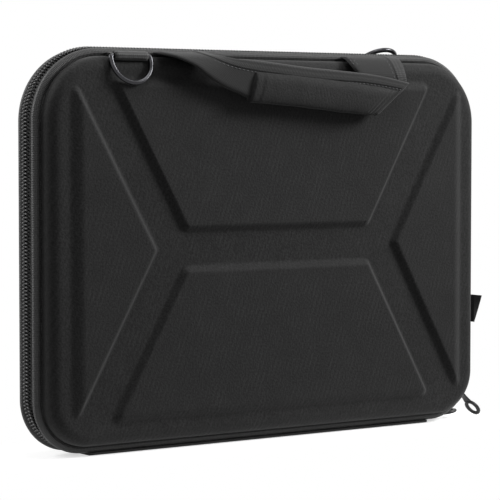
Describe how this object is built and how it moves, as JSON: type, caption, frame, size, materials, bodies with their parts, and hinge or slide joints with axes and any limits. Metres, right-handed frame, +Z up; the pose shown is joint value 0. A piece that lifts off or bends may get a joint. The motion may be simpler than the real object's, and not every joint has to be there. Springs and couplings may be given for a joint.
{
  "type": "laptop hard case",
  "caption": "Black moulded hard case for a laptop, zipped clamshell with raised panels, carrying handle and D-rings.",
  "frame": {"origin": "middle of the base, on the underside of the fabric hinge that the case stands on", "axes": "+X along the width, +Y from the front half to the back half, +Z up from the hinge to the handle"},
  "size_m": [0.3764, 0.0671, 0.2654],
  "materials": {
    "cover_fabric": "black twill polyester pressed over moulded foam, slight sheen",
    "lining_fabric": "soft brushed lining, dull",
    "binding_tape": "black ribbed binding tape",
    "zipper_tape": "black woven tape",
    "zipper_coil": "black nylon coil, satin",
    "webbing": "black woven webbing",
    "elastic": "black woven elastic",
    "mesh": "black nylon mesh",
    "tag_cloth": "bare black woven label",
    "foam": "closed cell foam",
    "ring_metal": "nickel plated steel wire, bright",
    "slider_metal": "die cast zinc in gunmetal black, satin"
  },
  "bodies": {
    "back_half": {"back_shell": "cover_fabric", "back_lining": "lining_fabric", "back_binding": "binding_tape", "back_zipper_tape": "zipper_tape", "back_zipper_coil": "zipper_coil", "spine_fabric": "cover_fabric", "back_ring_loop": "webbing", "corner_elastics": "elastic", "zipper_stops": "zipper_coil"},
    "front_half": {"front_shell": "cover_fabric", "front_lining": "lining_fabric", "front_binding": "binding_tape", "front_zipper_tape": "zipper_tape", "front_zipper_coil": "zipper_coil", "front_ring_loop": "webbing", "side_tag": "tag_cloth", "mesh_pocket": "mesh", "pocket_hem": "elastic", "handle_end_left": "webbing", "handle_end_right": "webbing"},
    "handle": {"handle_strap": "webbing", "handle_pad": "foam", "handle_sleeve": "cover_fabric"},
    "front_ring": {"front_ring": "ring_metal"},
    "rear_ring": {"rear_ring": "ring_metal"},
    "slider_a": {"slider_a_body": "slider_metal", "slider_a_bridge": "slider_metal"},
    "pull_a": {"pull_a": "slider_metal"},
    "slider_b": {"slider_b_body": "slider_metal", "slider_b_bridge": "slider_metal"},
    "pull_b": {"pull_b": "slider_metal"}
  },
  "joints": [
    {"name": "lid_hinge", "type": "hinge", "parent": "back_half", "child": "front_half", "pos_m": [0, 0, 0], "axis": [1, 0, 0], "range_deg": [0, 180], "deforming": ["spine_fabric", "front_zipper_tape", "front_zipper_coil"]},
    {"name": "handle_swing", "type": "hinge", "parent": "front_half", "child": "handle", "pos_m": [0, -0.0125, 0.2568], "axis": [-1, 0, 0], "range_deg": [0, 145], "deforming": ["handle_strap"]},
    {"name": "front_ring_swing", "type": "hinge", "parent": "front_half", "child": "front_ring", "pos_m": [-0.115, -0.02214, 0.25429], "axis": [-1, 0, 0], "range_deg": [0, 215]},
    {"name": "rear_ring_swing", "type": "hinge", "parent": "back_half", "child": "rear_ring", "pos_m": [0.115, 0.02214, 0.25429], "axis": [-1, 0, 0], "range_deg": [0, 215]},
    {"name": "slider_a_run", "type": "hinge", "parent": "back_half", "child": "slider_a", "pos_m": [0.144, 0, 0.0395], "axis": [0, -1, 0], "range_deg": [0, 8]},
    {"name": "pull_a_flip", "type": "hinge", "parent": "slider_a", "child": "pull_a", "pos_m": [0.1473, 0, 0.00174], "axis": [0, 1, 0], "range_deg": [0, 165]},
    {"name": "slider_b_run", "type": "hinge", "parent": "back_half", "child": "slider_b", "pos_m": [0.144, 0, 0.0395], "axis": [0, -1, 0], "range_deg": [0, 24]},
    {"name": "pull_b_flip", "type": "hinge", "parent": "slider_b", "child": "pull_b", "pos_m": [0.17682, 0, 0.02055], "axis": [0, -1, 0], "range_deg": [-28, 95]}
  ]
}
